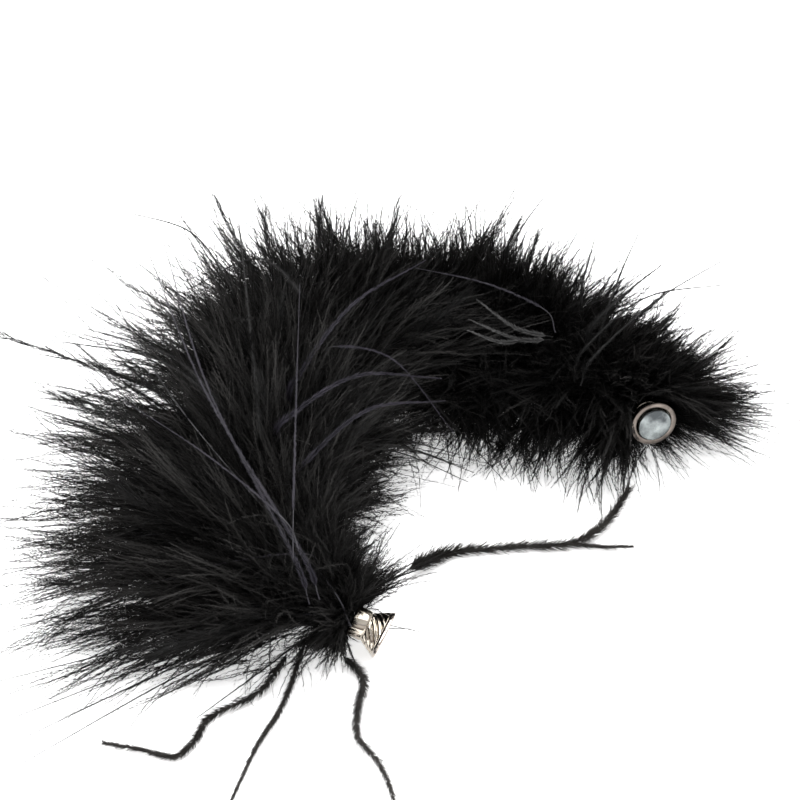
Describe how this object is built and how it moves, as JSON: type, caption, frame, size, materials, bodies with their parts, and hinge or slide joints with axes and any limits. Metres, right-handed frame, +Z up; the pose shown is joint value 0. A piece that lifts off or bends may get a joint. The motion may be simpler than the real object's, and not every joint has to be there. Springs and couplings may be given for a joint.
{
  "type": "feather boa",
  "caption": "Short feather boa: marabou plumes tied to a twisted cord with a magnetic clasp half on each end, lying in an open curl.",
  "frame": {"origin": "under the middle of the whole boa's box, on the table it lies on", "axes": "+Z up from the table, +Y across the lying curl from the near clasp's side to the far side, +X to the right, which is the side the curl opens to"},
  "size_m": [0.1641, 0.179, 0.0433],
  "materials": {
    "cord": "matte",
    "thread": "satin",
    "quill": "satin",
    "down": "matte",
    "plume": "satin",
    "strand": "matte",
    "clasp_metal": "polished",
    "rim_metal": "polished",
    "magnet": "gloss",
    "glue": "gloss"
  },
  "bodies": {
    "near_clasp": {"near_ferrule": "clasp_metal", "near_rim_ring": "rim_metal", "near_magnet": "magnet", "near_glue_plug": "glue", "near_cord_tail": "cord"},
    "near_end": {"near_cord_end": "cord", "near_end_whip": "thread", "near_edge_tuft": "down"},
    "link_1": {"core_cord_1": "cord", "thread_wrap_1": "thread", "quills_1": "quill", "down_tuft_1": "down", "plume_fan_1": "plume", "loose_strand_left": "strand", "loose_strand_middle": "strand", "loose_strand_near": "strand", "loose_strand_right": "strand", "loose_strand_fork": "strand"},
    "link_2": {"core_cord_2": "cord", "thread_wrap_2": "thread", "quills_2": "quill", "down_tuft_2": "down", "plume_fan_2": "plume"},
    "link_3": {"core_cord_3": "cord", "thread_wrap_3": "thread", "quills_3": "quill", "down_tuft_3": "down", "plume_fan_3": "plume"},
    "link_4": {"core_cord_4": "cord", "thread_wrap_4": "thread", "quills_4": "quill", "down_tuft_4": "down", "plume_fan_4": "plume"},
    "link_5": {"core_cord_5": "cord", "thread_wrap_5": "thread", "quills_5": "quill", "down_tuft_5": "down", "plume_fan_5": "plume"},
    "link_6": {"core_cord_6": "cord", "thread_wrap_6": "thread", "quills_6": "quill", "down_tuft_6": "down", "plume_fan_6": "plume"},
    "link_7": {"core_cord_7": "cord", "thread_wrap_7": "thread", "quills_7": "quill", "down_tuft_7": "down", "plume_fan_7": "plume"},
    "far_end": {"far_cord_end": "cord", "far_end_whip": "thread", "far_edge_tuft": "down"},
    "far_clasp": {"far_ferrule": "clasp_metal", "far_rim_ring": "rim_metal", "far_magnet": "magnet", "far_pole_cap": "magnet", "far_glue_plug": "glue", "far_cord_tail": "cord"}
  },
  "joints": [
    {"name": "bend_3_4", "type": "hinge", "parent": "link_4", "child": "link_3", "pos_m": [-0.02692, 0.0326, 0.009], "axis": [0, 0, 1], "range_deg": [-28, 17]},
    {"name": "bend_2_3", "type": "hinge", "parent": "link_3", "child": "link_2", "pos_m": [-0.02866, 0.00766, 0.009], "axis": [0, 0, 1], "range_deg": [-6, 39]},
    {"name": "bend_1_2", "type": "hinge", "parent": "link_2", "child": "link_1", "pos_m": [-0.02779, -0.01733, 0.009], "axis": [0, 0, 1], "range_deg": [-26, 19]},
    {"name": "near_swing", "type": "hinge", "parent": "link_1", "child": "near_end", "pos_m": [-0.01605, -0.0394, 0.009], "axis": [0, 0, 1], "range_deg": [-45, 0], "deforming": ["loose_strand_left", "loose_strand_middle", "loose_strand_near", "loose_strand_right", "loose_strand_fork"]},
    {"name": "near_tilt", "type": "hinge", "parent": "near_end", "child": "near_clasp", "pos_m": [-0.01337, -0.04022, 0.009], "axis": [-0.2924, -0.9563, 0], "range_deg": [-9, 21]},
    {"name": "bend_4_5", "type": "hinge", "parent": "link_4", "child": "link_5", "pos_m": [-0.01319, 0.05456, 0.009], "axis": [0, 0, -1], "range_deg": [-41, 4]},
    {"name": "bend_5_6", "type": "hinge", "parent": "link_5", "child": "link_6", "pos_m": [0.01072, 0.06187, 0.009], "axis": [0, 0, -1], "range_deg": [-42, 3]},
    {"name": "bend_6_7", "type": "hinge", "parent": "link_6", "child": "link_7", "pos_m": [0.03338, 0.05131, 0.009], "axis": [0, 0, -1], "range_deg": [-11, 34]},
    {"name": "far_swing", "type": "hinge", "parent": "link_7", "child": "far_end", "pos_m": [0.0536, 0.03661, 0.009], "axis": [0, 0, -1], "range_deg": [-37, 8]},
    {"name": "far_tilt", "type": "hinge", "parent": "far_end", "child": "far_clasp", "pos_m": [0.05442, 0.03393, 0.009], "axis": [0.9563, 0.2924, 0], "range_deg": [-24, 6]}
  ]
}
